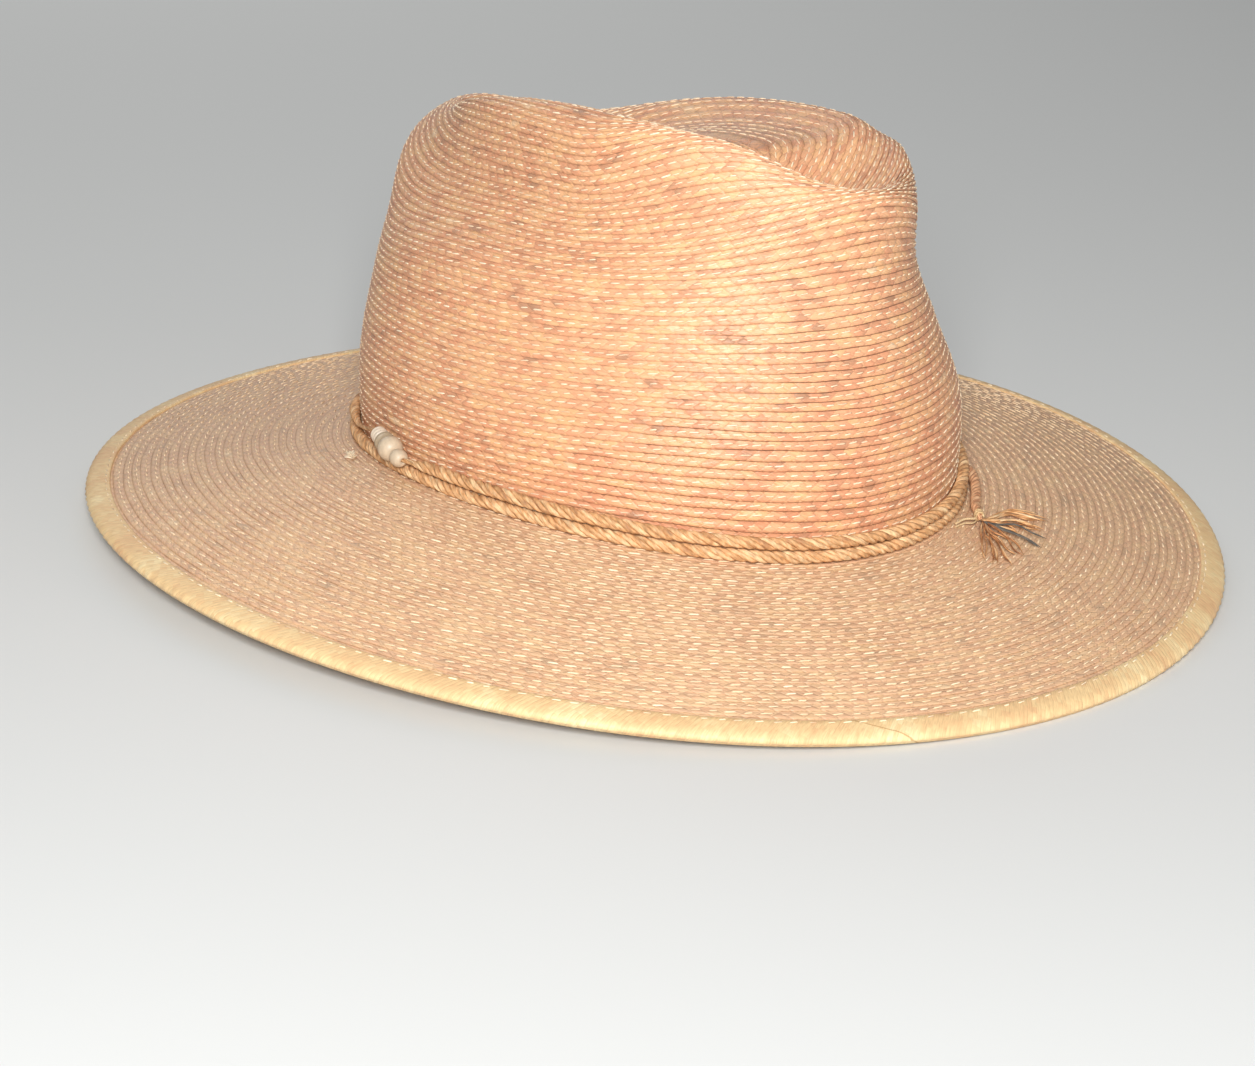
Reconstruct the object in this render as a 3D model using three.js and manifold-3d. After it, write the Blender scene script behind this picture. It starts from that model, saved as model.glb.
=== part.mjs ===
// A straw hat of sewn palm-leaf braid: pinched crown with a long dent in its top, oval brim with a bound
// edge, a twisted cord band of two turns, four beads and a short frayed tassel.
// Millimetres, +Z up. The front of the hat faces -Y. The origin is the middle of the hat on the plane
// that the brim's edge rests on. Angles run round the hat from the front (0) towards +X.
import * as THREE from "three";
import { mergeVertices } from "three/addons/utils/BufferGeometryUtils.js";
import Module from "manifold-3d";

const wasm = await Module();
wasm.setup();

// Straw walls and the clearance between neighbouring pieces
const WALL = 1.6;
const GAP = 0.3;

// Brim: an oval whose sides stand higher than its front and back
const BRIM_HALF_LENGTH = 183.5;
const BRIM_HALF_WIDTH = 173.5;
const BRIM_SIDE_RISE = 7;
const BRIM_CAMBER = 2;

// Edge binding: a thin strip folded over the brim's edge, with a narrow flat underneath
const BINDING_WIDTH = 10;
const BINDING_WALL = 0.8;
const BINDING_FLAT_OUTER = 0.6;
const BINDING_FLAT_INNER = 2.4;
const BRIM_INSET = BINDING_WALL + GAP;
const BRIM_EDGE_TOP = BINDING_WALL + GAP + WALL;

// Crown foot: its height above the rest plane at the middle, and its slope up towards the front
const FOOT_HEIGHT = 22.2;
const FOOT_SLOPE = 0.029;

// Crown: rings of the braid from the foot (row 0) to the core of the spiral (row 60).
// front, back and side are the reaches from the middle, waist is where along Y the ring is widest, and
// the heights are above the foot plane at the front, side and back. shoulder and heel are extra heights
// half way between each side and the front or the back. lean is how far the worn crown sinks on its left
// side (+X) and stands up on its right.
const CROWN_COLUMNS = [
  "row", "front", "back", "side", "waist", "zFront", "zSide", "zBack", "shoulder", "heel", "lean",
];
const CROWN_TABLE = [
  [0, 101.5, 101.5, 84.8, 0, -3.9, 3.9, -3.9, 0, 0, 0],
  [10, 101.5, 103, 84.4, 5, 27, 27.5, 23, 1.9, 0, 0],
  [20, 93, 104, 75, 14, 54.5, 50, 46.5, 1.4, 0, 0],
  [28, 85.5, 106, 67, 12.5, 78.5, 67, 65.5, -1, -3.5, 2],
  [34, 88, 110.5, 56.5, 2, 99, 76.5, 85.5, -1, -6.5, 3.5],
  [39, 85, 100.5, 52.5, -10, 101, 86, 94.5, 7.5, -5.5, 5],
  [43, 78.5, 88, 53, -13, 97, 95.5, 98, 13, -2.5, 7],
  [47, 67.5, 79.5, 54, -16, 93, 105.5, 90.5, 10.5, 4, 7.5],
  [51, 56.5, 70.5, 44.5, -25, 90.5, 112.5, 86, 5.5, 3, 4.5],
  [55, 47, 62, 27.5, -28.5, 93.5, 105, 81.5, 3, 0.5, 0.5],
  [60, 39, 51, 3, -27.5, 102.5, 104.5, 76.5, 0, 0, 0],
];
const CROWN_RINGS = CROWN_TABLE.map((values) =>
  Object.fromEntries(CROWN_COLUMNS.map((name, i) => [name, values[i]])));
const CORE_ROW = 60;
const ROW_PITCH = 2.85;

// Rows at which the outer and inner skins of the crown have a ring
const OUTER_ROWS = [0, 4, 8, 12, 16, 20, 24, 28, 31, 34, 36.5, 39, 41, 43, 45, 47, 49, 51, 53, 55, 57.5];
const INNER_ROWS = [0, 5, 10, 15, 20, 25, 29, 33, 36, 39, 41.5, 44, 46, 48, 50, 52.5, 55];

// Around the hat: facets of every ring. A facet is centred on the front and on the back.
const SECTORS = 60;
const HALF_FACET = Math.PI / SECTORS;
const BRIM_STATIONS = [1, 0.89, 0.7, 0.5, 0.3, 0.14, 0];

// Band cords: distance out from the crown's wall and up from the brim, by angle in degrees
const CORD_RADIUS = 1.9;
const CORD_NECK = 1.1;
const CORD_SIDES = 8;
const NECK_MARGIN = 0.8;
const NECK_TAPER = 2.2;
const NECK_STEPS = 12;
const NECK_CLEAR = 5;
const CORD_OUT = CORD_RADIUS + GAP;
const LOWER_UP = CORD_RADIUS + GAP;
const UPPER_UP = LOWER_UP + 2 * CORD_RADIUS + GAP;
const UPPER_BULGE = [
  { angle: -124, out: CORD_OUT, up: UPPER_UP },
  { angle: -116, out: 2.6, up: 7.8 },
  { angle: -111, out: 3.2, up: 9.5 },
  { angle: -107.2, out: 3.9, up: 10.1 },
  { angle: -104.8, out: 4.2, up: 9.2 },
  { angle: -102.2, out: 4.4, up: 8 },
  { angle: -98.6, out: 5, up: 6.5 },
  { angle: -95, out: 3.6, up: 6.3 },
  { angle: -90, out: CORD_OUT, up: UPPER_UP },
];

// Band curves: degrees between their points, and steps that measure their length
const BAND_STEP = 3;
const LENGTH_STEPS = 2400;

// Beads on the upper cord: place along the string of beads from the large bead, length, radius, and how
// square the bead's outline is (1 is a ball, larger is flatter along its length)
const BEAD_HOLE = 1.45;
const BEAD_RIM = 1.8;
const BEAD_SIDES = 12;
const BEAD_STEPS = 7;
const BEAD_ANGLE = -102.2;
const BEADS = [
  { name: "bead_small", along: 6.1, length: 5, radius: 2.75, square: 1.2 },
  { name: "bead_large", along: 0, length: 6.6, radius: 3.75, square: 1.5 },
  { name: "bead_disc", along: -4.6, length: 2, radius: 3.4, square: 2 },
  { name: "bead_ring", along: -8, length: 4.2, radius: 2.6, square: 1.6 },
];

// Cord end and tassel: angle in degrees, distance out from the foot along the brim, and height of the
// middle of the strand above the brim
const CORD_END_ROUTE = [
  { angle: 43, out: 6.3, up: 2.2, radius: 1.4 },
  { angle: 36, out: 6.2, up: 2.2, radius: 1.7 },
  { angle: 30, out: 7, up: 2.6, radius: 1.7 },
  { angle: 26.2, out: 8.4, up: 3.1, radius: 1.5 },
  { angle: 24.4, out: 9.6, up: 3.3, radius: 1.3 },
];
const END_STEPS = 8;
const KNOT = { angle: 22.9, out: 11.6, up: 2.7, radius: 1.9, around: 10, down: 8 };
const LOCKS = [
  { angle: 34.6, out: 29.8, bend: 1.5, radius: 1 },
  { angle: 31.2, out: 29.9, bend: -1.2, radius: 1 },
  { angle: 27.6, out: 29.5, bend: 0.8, radius: 1.1 },
  { angle: 23.8, out: 30, bend: -0.8, radius: 1.1 },
  { angle: 19.6, out: 28.2, bend: 1, radius: 1 },
  { angle: 16, out: 27.8, bend: 1.2, radius: 1 },
  { angle: 13.4, out: 24.5, bend: -1, radius: 0.9 },
];
const LOCK_TIP = 0.4;
const LOCK_LIFT = 0.45;
const LOCK_ROUTE = [
  { share: 0.28, along: 0.2, up: 2.3, bend: 0 },
  { share: 0.6, along: 0.55, up: 1.7, bend: 1 },
];
const LOCK_SIDES = 6;
const LOCK_STEPS = 4;

// Tie thread: a ring round the cord end's neck and a tail back to the band
const THREAD_RADIUS = 0.55;
const THREAD_TURN = 2.35;
const THREAD_SIDES = 6;
const THREAD_STEPS = 16;
const THREAD_STOP = 0.9;
const THREAD_HALF_TURN = 150;
const THREAD_TURN_STEP = 37.5;
const THREAD_TAIL = { angle: 21.4, out: 5.6, up: 1 };

// Colours of the straw, cords and beads, and their roughness
const COLOURS = {
  crown: [0xd9a06c, 0.72],
  brim: [0xcfa688, 0.75],
  edge_binding: [0xe9cd92, 0.7],
  band_cord_upper: [0xcf9654, 0.7],
  band_cord_lower: [0xc98f50, 0.7],
  cord_end: [0xb98352, 0.75],
  tassel: [0xc08a4e, 0.75],
  tie_thread: [0xe8c98f, 0.8],
  bead_small: [0xe3d2b4, 0.45],
  bead_large: [0xdccbac, 0.5],
  bead_disc: [0xc3b597, 0.5],
  bead_ring: [0xe6dcc8, 0.45],
};

const radians = (degrees) => THREE.MathUtils.degToRad(degrees);
const UP = new THREE.Vector3(0, 0, 1);

// Value of a crown column at a row: a smooth cubic through the table
function secant(name, i) {
  const low = CROWN_RINGS[i];
  const high = CROWN_RINGS[i + 1];
  return (high[name] - low[name]) / (high.row - low.row);
}

function slope(name, i) {
  const last = CROWN_RINGS.length - 1;
  if (i === 0) return secant(name, 0);
  if (i === last) return secant(name, last - 1);
  const before = CROWN_RINGS[i].row - CROWN_RINGS[i - 1].row;
  const after = CROWN_RINGS[i + 1].row - CROWN_RINGS[i].row;
  return (secant(name, i - 1) * after + secant(name, i) * before) / (before + after);
}

function column(name, row) {
  const at = THREE.MathUtils.clamp(row, 0, CORE_ROW);
  let i = 0;
  while (i < CROWN_RINGS.length - 2 && CROWN_RINGS[i + 1].row <= at) i += 1;
  const low = CROWN_RINGS[i];
  const high = CROWN_RINGS[i + 1];
  const span = high.row - low.row;
  const t = (at - low.row) / span;
  const rise = t * t * (3 - 2 * t);
  const leave = t * (1 - t) * (1 - t) * span * slope(name, i);
  const arrive = t * t * (t - 1) * span * slope(name, i + 1);
  return low[name] * (1 - rise) + high[name] * rise + leave + arrive;
}

// Point on the crown's outer surface
function crownPoint(row, angle) {
  const forward = Math.max(Math.cos(angle), 0);
  const backward = Math.max(-Math.cos(angle), 0);
  const sideways = Math.sin(angle);
  const waist = column("waist", row);
  const y = waist - (column("front", row) + waist) * forward + (column("back", row) - waist) * backward;
  const x = column("side", row) * sideways;
  const lift = column("zFront", row) * forward ** 2
    + column("zBack", row) * backward ** 2
    + column("zSide", row) * sideways ** 2
    + column("shoulder", row) * 4 * forward ** 2 * sideways ** 2
    + column("heel", row) * 4 * backward ** 2 * sideways ** 2
    - column("lean", row) * sideways;
  return new THREE.Vector3(x, y, FOOT_HEIGHT - FOOT_SLOPE * y + lift);
}

// Outward direction of the crown's surface
const PROBE = 0.01;

function crownNormal(row, angle) {
  const around = crownPoint(row, angle + PROBE).sub(crownPoint(row, angle - PROBE));
  const upward = crownPoint(row + PROBE, angle).sub(crownPoint(Math.max(row - PROBE, 0), angle));
  return around.cross(upward).normalize();
}

function wallDirection(row, angle) {
  return crownNormal(row, angle).setZ(0).normalize();
}

// Angles of the ring corners
const ringAngles = Array.from({ length: SECTORS }, (_, i) => (2 * i + 1) * HALF_FACET);
const ring = (point) => ringAngles.map(point);

// Corners closer than MERGE are one corner, and a triangle with less than FLAT is left out
const MERGE = 1e-4;
const FLAT = 1e-5;

// Skin over a run of rings that have as many corners each. The run closes on itself, or ends on a line.
function skin(rings, closed) {
  const positions = [];
  const runs = closed ? rings.length : rings.length - 1;
  const face = (a, b, c) => {
    const flat = b.clone().sub(a).cross(c.clone().sub(a)).length() < FLAT;
    if (!flat) positions.push(...a.toArray(), ...b.toArray(), ...c.toArray());
  };
  for (let k = 0; k < runs; k += 1) {
    const low = rings[k];
    const high = rings[(k + 1) % rings.length];
    for (let i = 0; i < low.length; i += 1) {
      const j = (i + 1) % low.length;
      face(low[i], low[j], high[j]);
      face(low[i], high[j], high[i]);
    }
  }
  const geometry = new THREE.BufferGeometry();
  geometry.setAttribute("position", new THREE.Float32BufferAttribute(positions, 3));
  return mergeVertices(geometry, MERGE);
}

// Crown: inner skin down to the foot, across the foot, and the outer skin up to the core
function crownGeometry() {
  const outerCore = ring((angle) => crownPoint(CORE_ROW, angle).setX(0));
  const innerCore = outerCore.map((corner) => corner.clone().setZ(corner.z - WALL));
  const innerRing = (row) => ring((angle) =>
    crownPoint(row, angle).addScaledVector(crownNormal(row, angle), -WALL));
  const foot = (inward) => ring((angle) => {
    const corner = crownPoint(0, angle).addScaledVector(wallDirection(0, angle), -inward);
    return corner.setZ(corner.z - WALL);
  });
  const inner = [...INNER_ROWS].reverse().map(innerRing);
  const outer = OUTER_ROWS.map((row) => ring((angle) => crownPoint(row, angle)));
  return skin([innerCore, ...inner, foot(WALL), foot(0), ...outer, outerCore], false);
}

// Brim: inner end against the crown's foot, outer end inside the binding
const edgeRise = (angle) => BRIM_SIDE_RISE * (Math.sin(angle) ** 2 - Math.sin(HALF_FACET) ** 2);

function brimFoot(angle) {
  return crownPoint(0, angle).addScaledVector(wallDirection(0, angle), GAP);
}

function brimEdge(angle) {
  const x = (BRIM_HALF_WIDTH - BRIM_INSET) * Math.sin(angle);
  const y = -(BRIM_HALF_LENGTH - BRIM_INSET) * Math.cos(angle);
  return new THREE.Vector3(x, y, BRIM_EDGE_TOP + edgeRise(angle));
}

function brimWidth(angle) {
  return brimEdge(angle).setZ(0).distanceTo(brimFoot(angle).setZ(0));
}

function brimPoint(angle, station) {
  const point = brimFoot(angle).lerp(brimEdge(angle), station);
  point.z += BRIM_CAMBER * Math.sin(Math.PI * station);
  return point;
}

function brimGeometry() {
  const top = BRIM_STATIONS.map((station) => ring((angle) => brimPoint(angle, station)));
  const under = (corners) => corners.map((corner) => corner.clone().setZ(corner.z - WALL));
  return skin([...top, ...[...top].reverse().map(under)], true);
}

// Binding: a strip folded over the brim's edge. inset is the distance in from the outermost line.
function bindingGeometry() {
  const at = (inset, lift) => ring((angle) => {
    const point = brimPoint(angle, 1 - (inset - BRIM_INSET) / brimWidth(angle));
    return point.setZ(point.z + lift);
  });
  const onRest = (inset) => ring((angle) => {
    const point = brimPoint(angle, 1 - (inset - BRIM_INSET) / brimWidth(angle));
    return point.setZ(edgeRise(angle));
  });
  const above = GAP;
  const below = -WALL - GAP;
  return skin([
    at(0, -WALL / 2),
    at(BINDING_WALL, above + BINDING_WALL),
    at(BINDING_WIDTH, above + BINDING_WALL),
    at(BINDING_WIDTH, above),
    at(BINDING_WALL, above),
    at(BINDING_WALL, below),
    at(BINDING_WIDTH, below),
    at(BINDING_WIDTH, below - BINDING_WALL),
    onRest(BINDING_FLAT_INNER),
    onRest(BINDING_FLAT_OUTER),
  ], true);
}

// Round strand along a curve, at the given stops from 0 to 1. Open strands end in a flat cap.
function strand(curve, stops, sides, radius, closed) {
  const rings = stops.map((stop) => {
    const middle = curve.getPointAt(stop);
    const ahead = curve.getTangentAt(stop);
    const across = new THREE.Vector3().crossVectors(UP, ahead).normalize();
    const over = new THREE.Vector3().crossVectors(ahead, across);
    return Array.from({ length: sides }, (_, i) => {
      const turn = (2 * Math.PI * i) / sides;
      return middle.clone()
        .addScaledVector(across, radius(stop) * Math.cos(turn))
        .addScaledVector(over, radius(stop) * Math.sin(turn));
    });
  });
  if (closed) return skin(rings, true);
  const end = (stop) => Array.from({ length: sides }, () => curve.getPointAt(stop));
  return skin([end(0), ...rings, end(1)], false);
}

const evenStops = (count) => Array.from({ length: count + 1 }, (_, i) => i / count);

// Place beside the crown's wall, above the brim's inner end
function bandPoint(angle, out, up) {
  const row = up / ROW_PITCH;
  const point = crownPoint(row, angle).addScaledVector(wallDirection(row, angle), out);
  return point.setZ(crownPoint(0, angle).z + up);
}

// Place on the brim, out from the crown's foot and above the top surface
function layPoint(angle, out, up) {
  const point = brimPoint(angle, out / brimWidth(angle));
  return point.setZ(point.z + up);
}

function lowerCurve() {
  const points = [];
  for (let degrees = -180; degrees < 180; degrees += BAND_STEP) {
    points.push(bandPoint(radians(degrees), CORD_OUT, LOWER_UP));
  }
  return new THREE.CatmullRomCurve3(points, true);
}

function upperCurve() {
  const first = UPPER_BULGE[0].angle;
  const last = UPPER_BULGE[UPPER_BULGE.length - 1].angle;
  const points = [];
  for (let degrees = last + BAND_STEP; degrees < first + 360; degrees += BAND_STEP) {
    points.push(bandPoint(radians(degrees), CORD_OUT, UPPER_UP));
  }
  UPPER_BULGE.forEach((stop) => points.push(bandPoint(radians(stop.angle), stop.out, stop.up)));
  return new THREE.CatmullRomCurve3(points, true);
}

const lower = lowerCurve();
const upper = upperCurve();
lower.arcLengthDivisions = LENGTH_STEPS;
upper.arcLengthDivisions = LENGTH_STEPS;
const upperLength = upper.getLength();

// Where along the upper cord the large bead sits: the stop nearest to its angle
const SEARCH_STEPS = 6000;

function beadStop() {
  const target = radians(BEAD_ANGLE);
  let best = 0;
  let least = Infinity;
  for (let k = 0; k < SEARCH_STEPS; k += 1) {
    const place = upper.getPointAt(k / SEARCH_STEPS);
    const angle = Math.atan2(place.x / CROWN_RINGS[0].side, -place.y / CROWN_RINGS[0].front);
    const away = Math.abs(angle - target);
    if (away < least) {
      least = away;
      best = k / SEARCH_STEPS;
    }
  }
  return best;
}

const largeStop = beadStop();
const stopOf = (bead) => largeStop + bead.along / upperLength;
const beadReach = BEADS.map((bead) => ({ stop: stopOf(bead), half: bead.length / 2 / upperLength }));
const neckStart = Math.min(...beadReach.map((reach) => reach.stop - reach.half)) - NECK_MARGIN / upperLength;
const neckEnd = Math.max(...beadReach.map((reach) => reach.stop + reach.half)) + NECK_MARGIN / upperLength;
const taper = NECK_TAPER / upperLength;

// The cord is drawn thin where it passes through the beads
function upperRadius(stop) {
  const away = Math.max(neckStart - stop, stop - neckEnd, 0);
  const share = Math.min(away / taper, 1);
  return CORD_NECK + (CORD_RADIUS - CORD_NECK) * share;
}

function upperStops() {
  const fine = [];
  for (let k = 0; k <= NECK_STEPS; k += 1) {
    fine.push(neckStart + ((neckEnd - neckStart) * k) / NECK_STEPS);
  }
  const stops = [neckStart - taper, ...fine, neckEnd + taper];
  const margin = NECK_CLEAR / upperLength;
  for (let k = 0; k < SECTORS; k += 1) {
    const stop = k / SECTORS;
    if (stop < neckStart - taper - margin || stop > neckEnd + taper + margin) stops.push(stop);
  }
  return stops.sort((a, b) => a - b);
}

// Bead: a closed outline turned about the cord's line, drilled right through
function beadGeometry(bead) {
  const outline = [];
  for (let k = 0; k <= BEAD_STEPS; k += 1) {
    const share = -1 + (2 * k) / BEAD_STEPS;
    const bulge = (1 - Math.abs(share) ** (2 * bead.square)) ** 0.5;
    const radius = BEAD_RIM + (bead.radius - BEAD_RIM) * bulge;
    outline.push(new THREE.Vector2(radius, (share * bead.length) / 2));
  }
  outline.push(new THREE.Vector2(BEAD_HOLE, bead.length / 2));
  outline.push(new THREE.Vector2(BEAD_HOLE, -bead.length / 2));
  outline.push(outline[0].clone());
  const geometry = new THREE.LatheGeometry(outline, BEAD_SIDES);
  geometry.deleteAttribute("normal");
  geometry.deleteAttribute("uv");
  const stop = stopOf(bead);
  const axis = new THREE.Vector3(0, 1, 0);
  const turn = new THREE.Quaternion().setFromUnitVectors(axis, upper.getTangentAt(stop));
  const place = upper.getPointAt(stop);
  geometry.applyQuaternion(turn);
  geometry.translate(place.x, place.y, place.z);
  return mergeVertices(geometry, MERGE);
}

// Cord end: from behind the band's curve to its neck beside the knot
const endCurve = new THREE.CatmullRomCurve3(
  CORD_END_ROUTE.map((stop) => layPoint(radians(stop.angle), stop.out, stop.up)),
);

function endRadius(stop) {
  const place = stop * (CORD_END_ROUTE.length - 1);
  const i = Math.min(Math.floor(place), CORD_END_ROUTE.length - 2);
  const share = place - i;
  return CORD_END_ROUTE[i].radius * (1 - share) + CORD_END_ROUTE[i + 1].radius * share;
}

// Tassel: a knot with tapered locks that fan out over the brim, fused into one body
function toSolid(geometry) {
  const clean = mergeVertices(geometry, MERGE);
  return new wasm.Manifold(new wasm.Mesh({
    numProp: 3,
    vertProperties: new Float32Array(clean.attributes.position.array),
    triVerts: new Uint32Array(clean.index.array),
  }));
}

function lockGeometry(lock) {
  const between = LOCK_ROUTE.map((stop) => {
    const angle = KNOT.angle * (1 - stop.share) + lock.angle * stop.share + lock.bend * stop.bend;
    const out = KNOT.out * (1 - stop.along) + lock.out * stop.along;
    return layPoint(radians(angle), out, stop.up);
  });
  const points = [
    layPoint(radians(KNOT.angle), KNOT.out, KNOT.up),
    ...between,
    layPoint(radians(lock.angle), lock.out, LOCK_TIP + LOCK_LIFT),
  ];
  const curve = new THREE.CatmullRomCurve3(points);
  const radius = (stop) => LOCK_TIP + (lock.radius - LOCK_TIP) * (1 - stop * stop);
  return strand(curve, evenStops(LOCK_STEPS), LOCK_SIDES, radius, false);
}

function tasselGeometry() {
  const knot = new THREE.SphereGeometry(KNOT.radius, KNOT.around, KNOT.down);
  knot.deleteAttribute("normal");
  knot.deleteAttribute("uv");
  const place = layPoint(radians(KNOT.angle), KNOT.out, KNOT.up);
  knot.translate(place.x, place.y, place.z);
  let solid = toSolid(knot);
  LOCKS.forEach((lock) => {
    solid = solid.add(toSolid(lockGeometry(lock)));
  });
  const mesh = solid.getMesh();
  const geometry = new THREE.BufferGeometry();
  geometry.setAttribute("position", new THREE.Float32BufferAttribute(mesh.vertProperties, 3));
  geometry.setIndex(Array.from(mesh.triVerts));
  return geometry;
}

// Thread: a turn round the neck of the cord end, then a tail to the band
function threadGeometry() {
  const middle = endCurve.getPointAt(THREAD_STOP);
  const ahead = endCurve.getTangentAt(THREAD_STOP);
  const across = new THREE.Vector3().crossVectors(UP, ahead).normalize();
  const over = new THREE.Vector3().crossVectors(ahead, across);
  const points = [];
  for (let degrees = -THREAD_HALF_TURN; degrees <= THREAD_HALF_TURN; degrees += THREAD_TURN_STEP) {
    const turn = radians(degrees);
    points.push(middle.clone()
      .addScaledVector(across, THREAD_TURN * Math.sin(turn))
      .addScaledVector(over, THREAD_TURN * Math.cos(turn)));
  }
  points.unshift(layPoint(radians(THREAD_TAIL.angle), THREAD_TAIL.out, THREAD_TAIL.up));
  const curve = new THREE.CatmullRomCurve3(points);
  return strand(curve, evenStops(THREAD_STEPS), THREAD_SIDES, () => THREAD_RADIUS, false);
}

const hat = new THREE.Group();
hat.name = "straw_hat";

function addPiece(name, geometry) {
  const [colour, roughness] = COLOURS[name];
  const material = new THREE.MeshStandardMaterial({ color: colour, roughness, metalness: 0 });
  const mesh = new THREE.Mesh(geometry, material);
  mesh.name = name;
  hat.add(mesh);
}

addPiece("crown", crownGeometry());
addPiece("brim", brimGeometry());
addPiece("edge_binding", bindingGeometry());
const lowerStops = evenStops(SECTORS).slice(0, -1);
addPiece("band_cord_lower", strand(lower, lowerStops, CORD_SIDES, () => CORD_RADIUS, true));
addPiece("band_cord_upper", strand(upper, upperStops(), CORD_SIDES, upperRadius, true));
addPiece("cord_end", strand(endCurve, evenStops(END_STEPS), CORD_SIDES, endRadius, false));
addPiece("tie_thread", threadGeometry());
addPiece("tassel", tasselGeometry());
BEADS.forEach((bead) => addPiece(bead.name, beadGeometry(bead)));

export default hat;
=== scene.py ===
"""A worn straw hat of sewn palm-leaf braid, resting on its brim on a plain pale floor.

Metres, +Z up. The front of the hat faces -Y. Angles run round the hat from the front towards +X.
Rows of braid are numbered from the crown's foot (0) up to the core of the spiral (60), and downwards
from the foot over the brim as negative numbers.
"""
import math

import bmesh
import bpy
import numpy as np
from mathutils import Matrix, Vector


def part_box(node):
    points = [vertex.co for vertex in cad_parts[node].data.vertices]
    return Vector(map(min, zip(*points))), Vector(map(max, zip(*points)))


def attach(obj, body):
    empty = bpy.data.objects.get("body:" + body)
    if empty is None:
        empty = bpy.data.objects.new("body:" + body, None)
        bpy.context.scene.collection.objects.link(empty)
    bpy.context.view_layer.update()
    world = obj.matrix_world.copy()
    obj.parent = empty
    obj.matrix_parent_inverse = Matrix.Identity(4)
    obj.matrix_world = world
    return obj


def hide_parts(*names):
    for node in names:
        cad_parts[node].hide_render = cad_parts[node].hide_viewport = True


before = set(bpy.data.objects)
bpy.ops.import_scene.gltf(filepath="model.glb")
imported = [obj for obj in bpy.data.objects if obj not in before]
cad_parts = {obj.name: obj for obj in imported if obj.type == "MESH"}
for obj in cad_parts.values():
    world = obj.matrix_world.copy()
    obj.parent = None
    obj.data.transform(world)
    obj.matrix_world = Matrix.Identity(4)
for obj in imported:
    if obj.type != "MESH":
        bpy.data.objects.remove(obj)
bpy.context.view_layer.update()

bl_info = {
    "name": "Palm-leaf straw hat",
    "version": (1, 0, 0),
    "blender": (4, 5, 0),
    "location": "3D View > Sidebar > Straw hat",
    "description": "Builds a sewn palm-leaf hat with its band, beads and tassel",
    "category": "Object",
}

MM = 0.001

# Crown: the reaches from the middle to the front, back and side, where along Y the ring is widest, and
# the heights above the foot plane at the front, side and back, with extra heights half way between each
# side and the front (shoulder) or back (heel). lean is how far the crown sinks on its left side (+X) and
# stands up on its right
CROWN_ROWS = (0, 10, 20, 28, 34, 39, 43, 47, 51, 55, 60)
CROWN_TABLE = {
    "front": (101.5, 101.5, 93, 85.5, 88, 85, 78.5, 67.5, 56.5, 47, 39),
    "back": (101.5, 103, 104, 106, 110.5, 100.5, 88, 79.5, 70.5, 62, 51),
    "side": (84.8, 84.4, 75, 67, 56.5, 52.5, 53, 54, 44.5, 27.5, 3),
    "waist": (0, 5, 14, 12.5, 2, -10, -13, -16, -25, -28.5, -27.5),
    "front_height": (-3.9, 27, 54.5, 78.5, 99, 101, 97, 93, 90.5, 93.5, 102.5),
    "side_height": (3.9, 27.5, 50, 67, 76.5, 86, 95.5, 105.5, 112.5, 105, 104.5),
    "back_height": (-3.9, 23, 46.5, 65.5, 85.5, 94.5, 98, 90.5, 86, 81.5, 76.5),
    "shoulder": (0, 1.9, 1.4, -1, -1, 7.5, 13, 10.5, 5.5, 3, 0),
    "heel": (0, 0, 0, -3.5, -6.5, -5.5, -2.5, 4, 3, 0.5, 0),
    "lean": (0, 0, 0, 2, 3.5, 5, 7, 7.5, 4.5, 0.5, 0),
}
CORE_ROW = 60
FOOT_HEIGHT = 22.2
FOOT_SLOPE = 0.029

# Rows over which the rings close to a line at the core, and rows between which the crown's outward
# direction is measured
CORE_CLOSING = 0.6
NORMAL_ROWS = (0.02, CORE_ROW - 0.7)

# Brim and its binding, in millimetres. The brim's own edge lies inside the binding, BRIM_INSET from its
# outermost line, and the solids' edge turns by two HALF_FACETs at each corner
BRIM_HALF_LENGTH = 183.5
BRIM_HALF_WIDTH = 173.5
BRIM_SIDE_RISE = 7
BRIM_CAMBER = 2
BRIM_INSET = 1.1
BRIM_EDGE_TOP = 2.7
BRIM_ROWS = 30
HALF_FACET = math.radians(3)
GAP = 0.3
WALL = 1.5

# Band cords: distance out from the crown and up from the brim, in millimetres, by angle in degrees
CORD_OUT = 2.2
LOWER_UP = 2.2
UPPER_BULGE = (
    (-124, 2.2, 6.3), (-116, 2.6, 7.8), (-111, 3.2, 9.5), (-107.2, 3.9, 10.1), (-104.8, 4.2, 9.2),
    (-102.2, 4.4, 8), (-98.6, 5, 6.5), (-95, 3.6, 6.3), (-90, 2.2, 6.3),
)
ROW_PITCH = 2.85

# Cord end and knot of the tassel: angle, distance out along the brim, height above it
CORD_END_ROUTE = (
    (47, 3.4, 2.4), (43, 5.4, 2.2), (36, 6.2, 2.2), (30, 7, 2.6), (26.2, 8.4, 3.1), (23.4, 11, 3))
KNOT = (22.9, 11.6, 2.7)

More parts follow.
